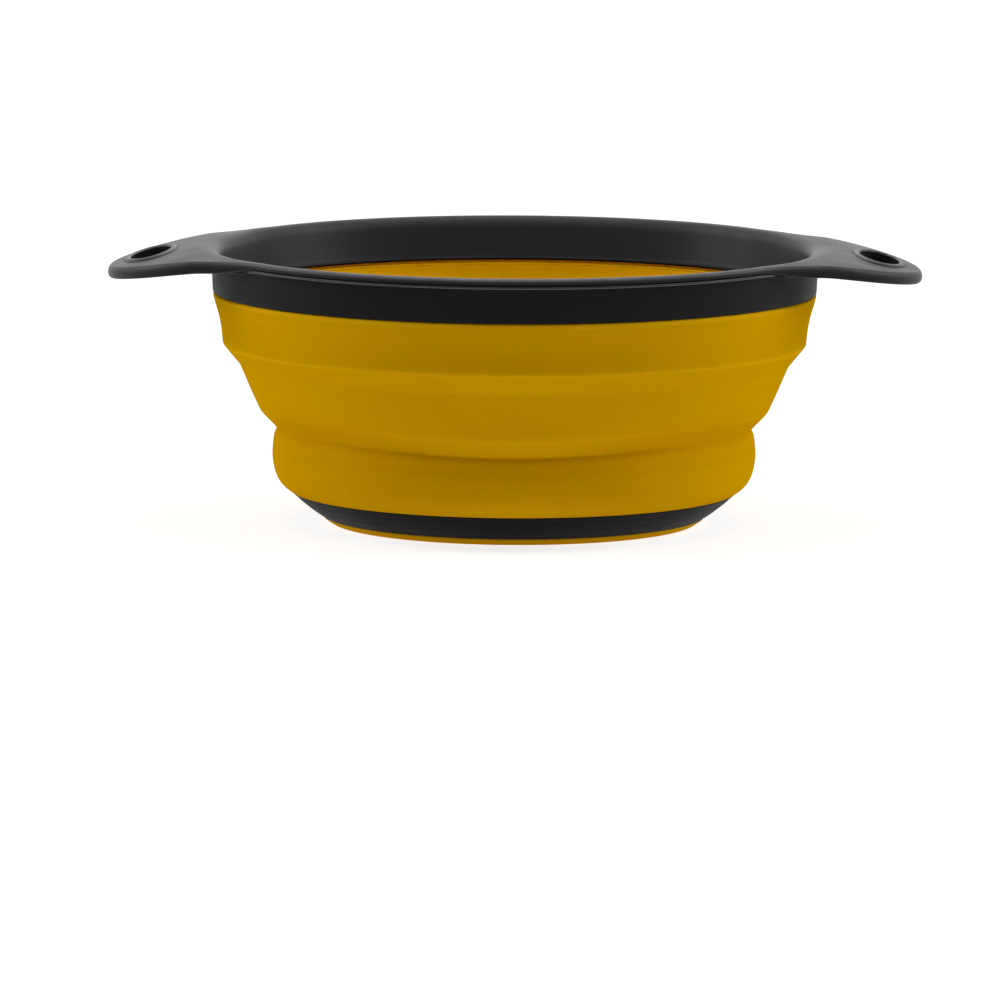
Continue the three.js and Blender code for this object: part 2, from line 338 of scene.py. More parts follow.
def rounded_path(corners, steps=8):
    """An open path from its first to its last corner, whose corners between them become arcs."""
    corners = np.array(corners, float)
    points = corners[:, :2]
    legs = unit(np.diff(points, axis=0))
    arcs = corner_arcs(corners[1:-1], -legs[:-1], legs[1:], steps)
    return np.concatenate([points[:1], arcs.reshape(-1, 2), points[-1:]])


def even_steps(points, count):
    """A path read at even distances along it."""
    place = np.concatenate([[0], np.cumsum(np.linalg.norm(np.diff(points, axis=0), axis=1))])
    read = np.linspace(0, place[-1], count)
    return np.stack([np.interp(read, place, points[:, 0]), np.interp(read, place, points[:, 1])], axis=-1)


def curve_through(points, count):
    """A natural cubic spline through points, spaced by the distances between them and read at count
    even places: between two points it is the cubic whose second slope changes evenly."""
    points = np.array(points, float)
    steps = np.linalg.norm(np.diff(points, axis=0), axis=1)
    place = np.concatenate([[0], np.cumsum(steps)])
    inner = np.arange(1, len(points) - 1)
    system = np.eye(len(points))
    system[inner, inner - 1] = steps[:-1]
    system[inner, inner] = 2 * (steps[:-1] + steps[1:])
    system[inner, inner + 1] = steps[1:]
    slopes = np.diff(points, axis=0) / steps[:, None]
    target = np.zeros_like(points)
    target[1:-1] = 6 * np.diff(slopes, axis=0)
    second = np.linalg.solve(system, target)
    read = np.linspace(0, place[-1], count)
    k = np.clip(np.searchsorted(place, read, side="right") - 1, 0, len(steps) - 1)
    step = steps[k][:, None]
    past = read[:, None] - place[k][:, None]
    left = step - past
    bent = (second[k] * left**3 + second[k + 1] * past**3) / (6 * step)
    low = (points[k] / step - second[k] * step / 6) * left
    high = (points[k + 1] / step - second[k + 1] * step / 6) * past
    return bent + low + high


def turned(section, angles):
    """Carries (radius, height) points round the axis: x = r cos a, y = r sin a, z = h. The section may
    differ from one angle to the next, with shape (angles, points, 2)."""
    section = np.broadcast_to(section, (len(angles), *np.shape(section)[-2:]))
    radius, height = section[..., 0], section[..., 1]
    return np.stack([radius * np.cos(angles)[:, None], radius * np.sin(angles)[:, None], height], axis=-1)


def circle(count):
    """Evenly spaced angles round the axis."""
    return np.arange(count) * 2 * math.pi / count


def ring(section, turns=TURNS):
    """A closed section turned all the way round."""
    surface = Surface()
    surface.add(turned(section, circle(turns)), join_rows=True, join_columns=True)
    return surface


# The base ring, the wall's lower tongue and the drain plate's rim lie side by side on one cone.
CONE = np.array([BASE_RADIUS - BASE_CONE_FOOT, BASE_CONE_TOP - BASE_BOTTOM])
CONE_LENGTH = np.linalg.norm(CONE)
CONE_SLOPE = CONE / CONE_LENGTH


def on_cone(along, depth):
    """The section point at a distance up the cone's slope and a depth in from its outer face."""
    inward = np.array([-CONE_SLOPE[1], CONE_SLOPE[0]])
    return np.array([BASE_CONE_FOOT, BASE_BOTTOM]) + along * CONE_SLOPE + depth * inward


def on_cone_at(height, depth):
    """The section point at a depth in from the cone's outer face, where it reaches a height."""
    along = (height - BASE_BOTTOM - depth * CONE_SLOPE[0]) / CONE_SLOPE[1]
    return on_cone(along, depth)


def foot_surface():
    """A flat ring with rounded edges, whose slanted outer face runs out to a lip under the base."""
    inner = FOOT_RADIUS - FOOT_WIDTH
    return ring(rounded([
        (inner, FOOT_BOTTOM, 0.6),
        (FOOT_RADIUS - FOOT_SLANT, FOOT_BOTTOM, 1.2),
        (FOOT_RADIUS + FOOT_LIP, FOOT_TOP + 0.3, 0.5),
        (inner, FOOT_TOP, 0.4),
    ]))


def base_surface():
    """A cone with a slightly bulged face, rounded edges and a flat flange inside its foot."""
    flange_top = BASE_BOTTOM + BASE_FLANGE_THICKNESS
    flange_radius = BASE_CONE_FOOT - BASE_FLANGE
    return ring(rounded([
        (flange_radius, BASE_BOTTOM, 0.4),
        (BASE_CONE_FOOT, BASE_BOTTOM, 0.4),
        (*on_cone(CONE_LENGTH / 3, -BASE_BULGE), 6.0),
        (*on_cone(CONE_LENGTH * 2 / 3, -BASE_BULGE), 6.0),
        (*on_cone(CONE_LENGTH, 0), 0.5),
        (*on_cone(CONE_LENGTH, BASE_WALL), 0.5),
        (*on_cone_at(flange_top, BASE_WALL), 1.0),
        (flange_radius, flange_top, 0.4),
    ]))


def drain_rows(border, centre):
    """The rows of a cell of the drain plate, from its border on top, down through its round hole and out
    to its border below. A row lies where the line from the hole's centre to a border point has a set
    share of its length, or a set distance from the centre."""
    top = PLATE_BOTTOM + PLATE_THICKNESS
    away = border - centre
    length = np.linalg.norm(away, axis=-1, keepdims=True)
    way = away / length
    turn = np.linspace(0, math.pi / 2, HOLE_EDGE_POINTS)
    edge = HOLE_RADIUS + HOLE_EDGE * (1 - np.sin(turn))
    drop = HOLE_EDGE * (1 - np.cos(turn))
    flat = HOLE_RADIUS + SUPPORT_SHARE * HOLE_EDGE
    rows = [(border, top), (centre + way * (flat + length) / 2, top), (centre + way * flat, top)]
    rows += [(centre + way * e, top - d) for e, d in zip(edge, drop)]
    rows += [(centre + way * e, PLATE_BOTTOM + d) for e, d in zip(edge[::-1], drop[::-1])]
    rows += [(centre + way * flat, PLATE_BOTTOM), (centre + way * (flat + length) / 2, PLATE_BOTTOM)]
    rows += [(border, PLATE_BOTTOM)]
    lifted = [np.concatenate([flat_row, np.full_like(length, z)], axis=-1) for flat_row, z in rows]
    return np.stack(lifted, axis=-3)


def polar(radius, angle):
    """Flat points from distances and directions."""
    return np.stack([radius * np.cos(angle), radius * np.sin(angle)], axis=-1)


def drain_surface():
    """A dish: rings of sector cells with a round hole each, joined to a turned rim on the cone. All the
    circles between the rings have the same points, so that the cells meet exactly."""
    surface = Surface()
    middle = polar(np.full(PLATE_TURNS, HOLE_RING_PITCH / 2), circle(PLATE_TURNS))
    surface.add(drain_rows(middle, np.zeros(2)), join_columns=True)
    for number in range(1, HOLE_RINGS + 1):
        cells = number * HOLES_PER_RING
        steps = PLATE_TURNS // cells
        half = math.pi / cells
        inner, outer = (number - 0.5) * HOLE_RING_PITCH, (number + 0.5) * HOLE_RING_PITCH
        across = np.linspace(-half, half, steps + 1)[:-1]
        up = np.linspace(inner, outer, CELL_SIDE_STEPS + 1)[:-1]
        radius = np.concatenate([
            np.full(steps, outer),
            (inner + outer) - up,
            np.full(steps, inner),
            up,
        ])
        angle = np.concatenate([
            across,
            np.full(CELL_SIDE_STEPS, half),
            -across,
            np.full(CELL_SIDE_STEPS, -half),
        ])
        for turn in circle(cells):
            centre = polar(number * HOLE_RING_PITCH, turn)
            surface.add(drain_rows(polar(radius, angle + turn), centre), join_columns=True)
    field = (HOLE_RINGS + 0.5) * HOLE_RING_PITCH
    top = PLATE_BOTTOM + PLATE_THICKNESS
    inside = PLATE_DEPTH + PLATE_WALL
    rim = rounded([
        (field, PLATE_BOTTOM, 0.01),
        (*on_cone_at(PLATE_BOTTOM, PLATE_DEPTH), 0.6),
        (*on_cone(PLATE_RIM_LENGTH, PLATE_DEPTH), 0.5),
        (*on_cone(PLATE_RIM_LENGTH, inside), 0.9),
        (*on_cone_at(top, inside), 3.0),
        (field, top, 0.01),
    ])
    trimmed = rim[rim[:, 0] > field + 0.1]
    section = np.concatenate([[[field, PLATE_BOTTOM]], trimmed, [[field, top]]])
    surface.add(turned(section, circle(PLATE_TURNS)), join_rows=True)
    return surface


def wall_outside():
    """The wall's outer face from the rim down to the base: a spline down to the fold, straight sides with
    rounded corners over the fold and its step to the crease, and another spline round the belly."""
    band = curve_through([
        (WALL_TOP_RADIUS - 0.2, WALL_TOP),
        (WALL_TOP_RADIUS + 0.1, WALL_TOP - 0.7),
        (WALL_TOP_RADIUS - 0.1, WALL_TOP - 2.2),
        (WALL_TOP_RADIUS - 0.8, WALL_TOP - 4.8),
        (WALL_TOP_RADIUS - 1.7, WALL_TOP - 7.8),
        (FOLD_RADIUS + 1.1, FOLD_Z + 11.6),
        (FOLD_RADIUS + 0.4, FOLD_Z + 7.0),
        (FOLD_RADIUS + 0.2, FOLD_Z + 5.0),
    ], WALL_POINTS)
    fold = rounded_path([
        (*band[-1], 0),
        (FOLD_RADIUS, FOLD_Z + 2.5, FOLD_ROUNDING),
        (STEP_RADIUS, FOLD_Z - 5.4, STEP_ROUNDING),
        (CREASE_RADIUS + 6.7, CREASE_Z + 6.8, SLOPE_ROUNDING),
        (CREASE_RADIUS, CREASE_Z, 0),
    ])
    belly = curve_through([
        (CREASE_RADIUS + 0.2, CREASE_Z - 0.4),
        (CREASE_RADIUS + 0.8, CREASE_Z - 1.3),
        (CREASE_RADIUS + 1.4, CREASE_Z - 2.9),
        (BELLY_RADIUS - 0.3, CREASE_Z - 5.4),
        (BELLY_RADIUS, CREASE_Z - 9.0),
        (BELLY_RADIUS - 0.4, CREASE_Z - 13.6),
        (BELLY_RADIUS - 1.6, CREASE_Z - 18.0),
        (BELLY_RADIUS - 3.9, CREASE_Z - 21.5),
        tuple(on_cone(CONE_LENGTH + WALL_SEAM, 0)),
    ], BELLY_POINTS)
    return np.concatenate([even_steps(np.concatenate([band, fold[1:]]), WALL_POINTS), belly])


def nearness(height, level, reach):
    """A share that is 1 at a level and falls off over a reach on both sides of it, as a bell curve."""
    return np.exp(-(((height - level) / reach) ** 2))


def wall_section():
    """The wall's closed section: its outer face, the tongue in the base, the inner face at the wall's
    thickness along the normal, and the tongue in the rim. The wall is thinner at its folds and thicker
    at its clamped ends."""
    outside = wall_outside()
    along = np.gradient(outside, axis=0)
    normal = unit(np.stack([-along[:, 1], along[:, 0]], axis=-1))
    height = outside[:, 1]
    fold = nearness(height, FOLD_Z, FOLD_REACH) + nearness(height, CREASE_Z, CREASE_REACH)
    ends = nearness(height, WALL_TOP, TOP_REACH) + nearness(height, BASE_CONE_TOP, FOOT_REACH)
    thickness = WALL_THICKNESS + (FOLD_THICKNESS - WALL_THICKNESS) * fold
    thickness += (END_THICKNESS - WALL_THICKNESS) * ends
    inside = outside - normal * thickness[:, None]
    tongue_foot = CONE_LENGTH / 2
    lower_tongue = [
        on_cone(CONE_LENGTH + WALL_SEAM, TONGUE_START),
        on_cone(tongue_foot, TONGUE_START),
        on_cone(tongue_foot, TONGUE_END),
    ]
    upper_tongue = [
        (FUNNEL_FOOT_RADIUS + FUNNEL_WALL + TONGUE_INSET, TONGUE_TOP),
        (SKIRT_RADIUS - TONGUE_INSET, TONGUE_TOP),
        (SKIRT_RADIUS - TONGUE_ROOT_INSET, WALL_TOP + 0.1),
    ]
    return np.concatenate([outside, lower_tongue, inside[::-1], upper_tongue])


def wall_surface():
    """The wall's section turned round, with the slack of a soft wall just above the crease: there the
    radius varies by a wave of three lobes, and the height by a wave of two. Both also take a squared sine,
    which draws the crease up and in between the front, the sides and the back."""
    angles = circle(TURNS)
    section = np.repeat(wall_section()[None], TURNS, axis=0)
    slack = nearness(section[..., 1], CREASE_Z + SLACK_RISE, SLACK_REACH)
    front = angles[:, None] + math.pi / 2
    drawn = FOLD_LOBE * np.sin(2 * front) ** 2
    section[..., 0] += slack * (FOLD_WAVE * np.cos(3 * front) - drawn)
    section[..., 1] -= slack * (FOLD_WAVE * np.cos(2 * front) - drawn)
    surface = Surface()
    surface.add(turned(section, angles), join_rows=True, join_columns=True)
    return surface


def edge_reach(angle):
    """How far the rim's edge stands past its lip: the handle's outline is an ellipse whose centre lies
    inside the rim, run smoothly into the lip's circle."""
    root = LIP_RADIUS - HANDLE_ROOT_DEPTH
    length = TIP_RADIUS - root
    out = np.abs(np.cos(angle)) / length
    across = np.sin(angle) / HANDLE_HALF_WIDTH
    square = out**2 + across**2
    middle = out * root / length / square
    spread = middle**2 - ((root / length) ** 2 - 1) / square
    past = middle + np.sqrt(np.maximum(spread, 0)) - LIP_RADIUS
    near = np.maximum(HANDLE_BLEND - np.abs(past), 0) / HANDLE_BLEND
    return np.maximum(past, 0) + near**2 * HANDLE_BLEND / 4


def run_out(reach, run):
    """A share that rises from 0 and levels off at 1 as the reach passes a run."""
    return 1 - np.exp(-reach / run)


def soft_start(length):
    """A length that starts as its square and then runs on as a straight line: a hyperbola's rise."""
    return np.hypot(length, SOFT_START) - SOFT_START


def rim_height(points):
    """Height of the rim's top over flat points: level on the lip, falling by a power of the distance
    towards a handle's tip, and by the square of the distance to a handle's side. Both start softly."""
    x, y = points[..., 0], points[..., 1]
    radius = np.hypot(x, y)
    reach = edge_reach(np.arctan2(y, x))
    share = np.clip((radius - FLAT_START) / (FLAT_WIDTH + reach), 0, 1)
    out = soft_start(np.maximum(np.abs(x) - FLAT_START, 0)) / soft_start(TIP_RADIUS - FLAT_START)
    arch = HANDLE_ARCH * run_out(soft_start(share * reach), HANDLE_ARCH_RUN)
    return LIP_TOP - HANDLE_DROOP * out**HANDLE_DROOP_POWER - arch * (y / HANDLE_HALF_WIDTH) ** 2


def rim_thickness(points):
    """Thickness of the rim over flat points: thin at the lip, thicker in the handles."""
    reach = edge_reach(np.arctan2(points[..., 1], points[..., 0]))
    return LIP_THICKNESS + (HANDLE_THICKNESS - LIP_THICKNESS) * run_out(reach, HANDLE_THICKNESS_RUN)


def skirt_surface():
    """A band with a rounded ledge that stands out below the lip. Its heights are stretched so that the
    ledge follows the underside of the rim, which is lower at the handles."""
    section = rounded([
        (SKIRT_FOOT_RADIUS - SKIRT_WALL, SKIRT_BOTTOM, 0.4),
        (SKIRT_FOOT_RADIUS, SKIRT_BOTTOM, 0.5),
        (SKIRT_RADIUS, SKIRT_LEDGE_ROOT, 0.6),
        (SKIRT_LEDGE_RADIUS, SKIRT_LEDGE_EDGE, 0.4),
        (SKIRT_LEDGE_RADIUS, SKIRT_LEDGE_TOP, 0.4),
        (SKIRT_RADIUS - SKIRT_TOP_WALL, SKIRT_LEDGE_TOP, 0.3),
    ])
    angles = circle(TURNS)
    sections = np.repeat(section[None], TURNS, axis=0)
    lowered = rim_thickness(polar(np.full(TURNS, LIP_RADIUS), angles)) - LIP_THICKNESS
    share = (sections[..., 1] - SKIRT_BOTTOM) / (SKIRT_LEDGE_TOP - SKIRT_BOTTOM)
    sections[..., 1] -= lowered[:, None] * share
    surface = Surface()
    surface.add(turned(sections, angles), join_rows=True, join_columns=True)
    return surface


def crown_radius(angle):
    """Where the rim's flat top begins: further out at the handles, whose fillet is larger."""
    share = run_out(edge_reach(angle), HANDLE_ROOT_RUN)
    return NECK_TOP_RADIUS + FILLET_OUT + HANDLE_FILLET_OUT * share


def edge_inset(angle):
    """Where the rim's flat top ends, inside its rounded edge."""
    return LIP_RADIUS + edge_reach(angle) - LIP_THICKNESS / 2


def lift(points, height):
    """Flat points raised to heights."""
    return np.concatenate([points, height[..., None]], axis=-1)


def flange(angles):
    """Flat points of the rim's top between its crown and its edge, of shape (angles, steps, 2)."""
    share = np.linspace(0, 1, LIP_STEPS + 1)
    inner, outer = crown_radius(angles)[:, None], edge_inset(angles)[:, None]
    return polar(inner + (outer - inner) * share, angles[:, None])


def slot_outline(share, margin):
    """Flat points of an oval slot about its own centre, at shares of a turn from one end round to it
    again, grown by a margin along the normal."""
    turn = 2 * math.pi * share
    oval = np.stack([SLOT_WIDTH / 2 * np.sin(turn), SLOT_LENGTH / 2 * np.cos(turn)], axis=-1)
    normal = unit(np.stack([np.sin(turn) / SLOT_WIDTH, np.cos(turn) / SLOT_LENGTH], axis=-1))
    return oval + margin * normal


def bead_height(distance):
    """Height of the rounded bead round a slot, and of the fine groove outside it."""
    inside = np.clip(2 * distance / BEAD_WIDTH - 1, -1, 1)
    groove = np.clip((distance - BEAD_WIDTH) / GROOVE_WIDTH, 0, 1)
    return BEAD_HEIGHT * np.sqrt(1 - inside**2) - GROOVE_DEPTH * np.sin(math.pi * groove) ** 2


def handle_grid(side):
    """One handle as a sheet carried round its slot: from the border of the flange below, in to the slot,
    up the slot's wall, over the bead and the groove, and out to the border on top. The border runs
    along the handle's edge, and back along the bowl's crown."""
    steps = round(HANDLE_ANGLE / (2 * math.pi) * RIM_TURNS)
    angles = np.arange(-steps, steps + 1) * 2 * math.pi / RIM_TURNS
    flat = flange(angles)
    border = np.concatenate([flat[:-1, -1], flat[-1, :0:-1], flat[:0:-1, 0], flat[0, :-1]])
    done = np.arange(len(border) // 2) / (len(border) // 2)
    outer = 0.25 + SLOT_OUTER_SHARE * (0.5 - done)
    inner = 0.25 - SLOT_OUTER_SHARE / 2 - (1 - SLOT_OUTER_SHARE) * done
    around = np.concatenate([outer, inner]) % 1
    centre = np.array([TIP_RADIUS - SLOT_TIP_DISTANCE, 0])

    def loop(margin):
        return centre + slot_outline(around, margin)

    collar = loop(COLLAR)
    share = np.linspace(0, 1, HANDLE_STEPS + 1)[1:, None, None]
    spread = collar + (border - collar) * share
    top_margins = np.concatenate([
        BEAD_WIDTH * (1 - np.cos(np.linspace(0, math.pi, BEAD_POINTS))) / 2,
        BEAD_WIDTH + np.linspace(0, GROOVE_WIDTH, GROOVE_POINTS)[1:],
        [COLLAR],
    ])
    top = np.stack([lift(loop(m), rim_height(loop(m)) + bead_height(m)) for m in top_margins])
    bottom_turn = np.linspace(math.pi / 2, 0, SLOT_EDGE_POINTS)
    rounding = SLOT_EDGE * (1 - np.sin(bottom_turn))
    rise = SLOT_EDGE * (1 - np.cos(bottom_turn))

    def under(points):
        return rim_height(points) - rim_thickness(points)

    bottom = np.stack([
        lift(loop(m), under(loop(m)) + up)
        for m, up in [(COLLAR, 0), (SUPPORT_SHARE * SLOT_EDGE, 0), *zip(rounding[::-1], rise[::-1])]
    ])
    below = lift(spread, under(spread))[::-1]
    above = lift(spread, rim_height(spread))
    sheet = np.concatenate([below, bottom, top, above])
    if side < 0:
        sheet = sheet * np.array([-1, -1, 1])
    return sheet


def funnel_rows(angles):
    """The rim inside its crown, of shape (angles, points, 2): the fillet as a quadratic curve whose corner
    lies where the rim's top, run on at its slope, meets the funnel's face; then down that face, round
    its foot and up its outer face."""
    crown = crown_radius(angles)
    crown_points = polar(crown, angles)
    crown_top = rim_height(crown_points)
    share = run_out(edge_reach(angles), HANDLE_ROOT_RUN)
    slope = (NECK_TOP_RADIUS - FUNNEL_FOOT_RADIUS) / (LIP_TOP - FUNNEL_FOOT)
    drop = FILLET_DOWN + HANDLE_FILLET_DOWN * share
    start = np.stack([crown, crown_top], axis=-1)[:, None]
    fall = (crown_top - rim_height(polar(crown + SLOPE_STEP, angles))) / SLOPE_STEP
    above = crown_top + fall * (crown - NECK_TOP_RADIUS + slope * LIP_TOP)
    corner_height = above / (1 + fall * slope)
    corner_radius = NECK_TOP_RADIUS - slope * (LIP_TOP - corner_height)
    corner = np.stack([corner_radius, corner_height], axis=-1)[:, None]
    end = np.stack([NECK_TOP_RADIUS - slope * drop, LIP_TOP - drop], axis=-1)[:, None]
    t = np.linspace(0, 1, FUNNEL_STEPS + 1)[None, :, None]
    fillet = start * (1 - t) ** 2 + corner * 2 * t * (1 - t) + end * t**2
    foot = np.array([FUNNEL_FOOT_RADIUS, FUNNEL_FOOT])
    down = np.linspace(0, FUNNEL_FACE_SHARE, FUNNEL_FACE_POINTS)[None, 1:, None]
    face = end + (foot - end) * down
    outer_foot = foot + np.array([FUNNEL_WALL, 0])
    half_round = np.linspace(0, math.pi, FUNNEL_FOOT_POINTS)
    turn = foot + FUNNEL_WALL / 2 * np.stack([1 - np.cos(half_round), 1 - np.sin(half_round)], axis=1)
    neck_height = crown_top - rim_thickness(crown_points)
    back = np.stack([np.full_like(crown, NECK_OUTER), neck_height - NECK_BEVEL], axis=-1)[:, None]
    under = np.stack([np.full_like(crown, NECK_OUTER + NECK_BEVEL), neck_height], axis=-1)[:, None]
    last = np.stack([crown, neck_height], axis=-1)[:, None]
    turn = np.broadcast_to(turn, (len(angles), *turn.shape))
    middle = outer_foot + np.array([0, FUNNEL_WALL]) + (back - outer_foot) * 0.5
    return np.concatenate([fillet, face, turn, middle, back, under, last], axis=1)


def rim_surface():
    """The rim in sheets that share their borders: two lip arcs, two handles, the rounded edge all round,
    whose section is half an ellipse, and the funnel inside."""
    surface = Surface()
    steps = round(HANDLE_ANGLE / (2 * math.pi) * RIM_TURNS)
    half = RIM_TURNS // 2
    for first in (0, half):
        arc = np.arange(first + steps, first + half - steps + 1) * 2 * math.pi / RIM_TURNS
        flat = flange(arc)
        surface.add(lift(flat, rim_height(flat)))
        surface.add(lift(flat, rim_height(flat) - rim_thickness(flat)))
    for side in (1, -1):
        surface.add(handle_grid(side), join_columns=True)
    angles = circle(RIM_TURNS)
    turn = np.linspace(0, math.pi, EDGE_STEPS + 1)
    radius = edge_inset(angles)[:, None] + LIP_THICKNESS / 2 * np.sin(turn)
    points = polar(radius, angles[:, None])
    fall = rim_thickness(points) * (1 - np.cos(turn)) / 2
    surface.add(lift(points, rim_height(points) - fall), join_rows=True)
    surface.add(turned(funnel_rows(angles), angles), join_rows=True)
    return surface


def face_centres(mesh):
    """The x, y and z of a mesh's face centres, in millimetres."""
    centres = np.empty(3 * len(mesh.polygons), np.float32)
    mesh.polygons.foreach_get("center", centres)
    return centres.reshape(-1, 3).T / MM


def shaded_faces(mesh):
    """Marks the rim's faces that lie in shade, which take a darker copy of the rim's plastic as painted
    shade:
    those on a slot's oval or inside it, and the funnel's foot."""
    x, y, z = face_centres(mesh)
    across = 2 * (np.abs(x) - (TIP_RADIUS - SLOT_TIP_DISTANCE)) / SLOT_WIDTH
    return (np.hypot(across, 2 * y / SLOT_LENGTH) < SLOT_SHADE) | (z < FUNNEL_FOOT + FOOT_SHADE)


def ledge_highlight_faces(mesh):
    """Marks the faces of the skirt's ledge, by their height. They take the rim's plastic, whose lighter
    edges paint a highlight line along the ledge.
    """
    return face_centres(mesh)[2] > SKIRT_LEDGE_FACES


def add_node(tree, kind, inputs=None, **settings):
    """Adds a node, sets its settings, and fills its inputs: a socket is linked, a value is set."""
    node = tree.nodes.new(kind)
    for name, value in settings.items():
        setattr(node, name, value)
    for name, value in (inputs or {}).items():
        if isinstance(value, bpy.types.NodeSocket):
            tree.links.new(value, node.inputs[name])
        else:
            node.inputs[name].default_value = value
    return node


def new_group(name, inputs, outputs):
    """An empty shader group with named sockets, and its input and output nodes."""
    group = bpy.data.node_groups.new(name, "ShaderNodeTree")
    for label, kind, value in inputs:
        socket = group.interface.new_socket(label, in_out="INPUT", socket_type=kind)
        socket.default_value = value
    for label, kind in outputs:
        group.interface.new_socket(label, in_out="OUTPUT", socket_type=kind)
    return group, group.nodes.new("NodeGroupInput"), group.nodes.new("NodeGroupOutput")


def grain_group():
    """Fine moulded grain: two sizes of noise over the piece's own coordinates, as a height and a mask."""
    group, given, result = new_group(
        "moulded_grain",
        [("Scale", "NodeSocketFloat", 2000.0), ("Patch Scale", "NodeSocketFloat", 60.0)],
        [("Height", "NodeSocketFloat"), ("Patches", "NodeSocketFloat")],
    )
    place = add_node(group, "ShaderNodeTexCoord").outputs["Object"]
    fine = add_node(group, "ShaderNodeTexNoise", {
        "Vector": place, "Scale": given.outputs["Scale"], "Detail": 2.0, "Roughness": 0.6})
    patches = add_node(group, "ShaderNodeTexNoise", {
        "Vector": place, "Scale": given.outputs["Patch Scale"], "Detail": 3.0, "Roughness": 0.55})
    group.links.new(fine.outputs["Fac"], result.inputs["Height"])
    group.links.new(patches.outputs["Fac"], result.inputs["Patches"])
    return group


def drift_group():
    """Slow drift of a colour: it is multiplied by a value that wanders round one."""
    group, given, result = new_group(
        "tone_drift",
        [("Color", "NodeSocketColor", (0.5, 0.5, 0.5, 1)), ("Amount", "NodeSocketFloat", 0.1),
         ("Scale", "NodeSocketFloat", 20.0)],
        [("Color", "NodeSocketColor")],
    )
    place = add_node(group, "ShaderNodeTexCoord").outputs["Object"]
    wander = add_node(group, "ShaderNodeTexNoise", {
        "Vector": place, "Scale": given.outputs["Scale"], "Detail": 4.0, "Roughness": 0.5})
    centred = add_node(group, "ShaderNodeMath", {0: wander.outputs["Fac"], 1: 0.5}, operation="SUBTRACT")
    sized = add_node(group, "ShaderNodeMath", {
        0: centred.outputs[0], 1: given.outputs["Amount"], 2: 1.0}, operation="MULTIPLY_ADD")
    tinted = add_node(group, "ShaderNodeVectorMath", {
        0: given.outputs["Color"], "Scale": sized.outputs[0]}, operation="SCALE")
    group.links.new(tinted.outputs[0], result.inputs["Color"])
    return group


def edge_and_hollow_group():
    """A second colour along the edges or in the hollows of a piece, broken up by patches of noise: painted
    highlight and edge wear along edges, painted shade in hollows.
    """
    group, given, result = new_group(
        "edge_and_hollow_tint",
        [("Color", "NodeSocketColor", (0.5, 0.5, 0.5, 1)), ("Second Color", "NodeSocketColor", (1, 1, 1, 1)),
         ("Where", "NodeSocketFloat", 0.0), ("Strength", "NodeSocketFloat", 0.5),
         ("Scale", "NodeSocketFloat", 150.0)],
        [("Color", "NodeSocketColor"), ("Mask", "NodeSocketFloat")],
    )
    place = add_node(group, "ShaderNodeTexCoord").outputs["Object"]
    patches = add_node(group, "ShaderNodeTexNoise", {
        "Vector": place, "Scale": given.outputs["Scale"], "Detail": 3.0})
    broken = add_node(group, "ShaderNodeMapRange", {
        "Value": patches.outputs["Fac"], "From Min": 0.3, "From Max": 0.7, "To Min": 0.75, "To Max": 1.0})
    strong = add_node(group, "ShaderNodeMath", {
        0: given.outputs["Where"], 1: given.outputs["Strength"]}, operation="MULTIPLY")
    mask = add_node(group, "ShaderNodeMath", {
        0: strong.outputs[0], 1: broken.outputs["Result"]}, operation="MULTIPLY", use_clamp=True)
    mixed = add_node(group, "ShaderNodeMix", {
        0: mask.outputs[0], 6: given.outputs["Color"], 7: given.outputs["Second Color"]}, data_type="RGBA")
    group.links.new(mixed.outputs[2], result.inputs["Color"])
    group.links.new(mask.outputs[0], result.inputs["Mask"])
    return group


GRAIN = grain_group()
DRIFT = drift_group()
EDGE_AND_HOLLOW = edge_and_hollow_group()


def moulded(name, colour, edge_wear_and_highlight, hollow_shade, roughness, specular, grain_scale, grain_depth, edge_strength=0.5,
            depth=0.6):
    """A moulded material: a colour that drifts, a lighter one along its edges as painted highlight and edge
    wear, a darker one in its hollows as painted shade, a finish that varies in patches, and a fine grain in
    relief."""
    material = bpy.data.materials.new(name)
    material.use_nodes = True
    tree = material.node_tree
    shader = tree.nodes["Principled BSDF"]
    shader.inputs["Specular IOR Level"].default_value = specular
    grain = add_node(tree, "ShaderNodeGroup", {"Scale": grain_scale, "Patch Scale": 55.0}, node_tree=GRAIN)
    edge = add_node(tree, "ShaderNodeAttribute", attribute_name="edge")
    hollow = add_node(tree, "ShaderNodeAttribute", attribute_name="hollow")
    base = add_node(tree, "ShaderNodeGroup", {
        "Color": (*colour, 1), "Amount": 0.12, "Scale": 18.0}, node_tree=DRIFT)
    shaded_hollows = add_node(tree, "ShaderNodeGroup", {
        "Color": base.outputs["Color"], "Second Color": (*hollow_shade, 1), "Where": hollow.outputs["Fac"],
        "Strength": depth, "Scale": 90.0}, node_tree=EDGE_AND_HOLLOW)
    light = add_node(tree, "ShaderNodeGroup", {
        "Color": shaded_hollows.outputs["Color"], "Second Color": (*edge_wear_and_highlight, 1), "Where": edge.outputs["Fac"],
        "Strength": edge_strength, "Scale": 160.0}, node_tree=EDGE_AND_HOLLOW)
    tree.links.new(light.outputs["Color"], shader.inputs["Base Color"])
    finish = add_node(tree, "ShaderNodeMapRange", {
        "Value": grain.outputs["Patches"], "From Min": 0.3, "From Max": 0.7,
        "To Min": roughness - 0.04, "To Max": roughness + 0.04})
    tree.links.new(finish.outputs["Result"], shader.inputs["Roughness"])
    relief = add_node(tree, "ShaderNodeBump", {
        "Height": grain.outputs["Height"], "Strength": 0.35, "Distance": grain_depth * MM})
    tree.links.new(relief.outputs["Normal"], shader.inputs["Normal"])
    return material
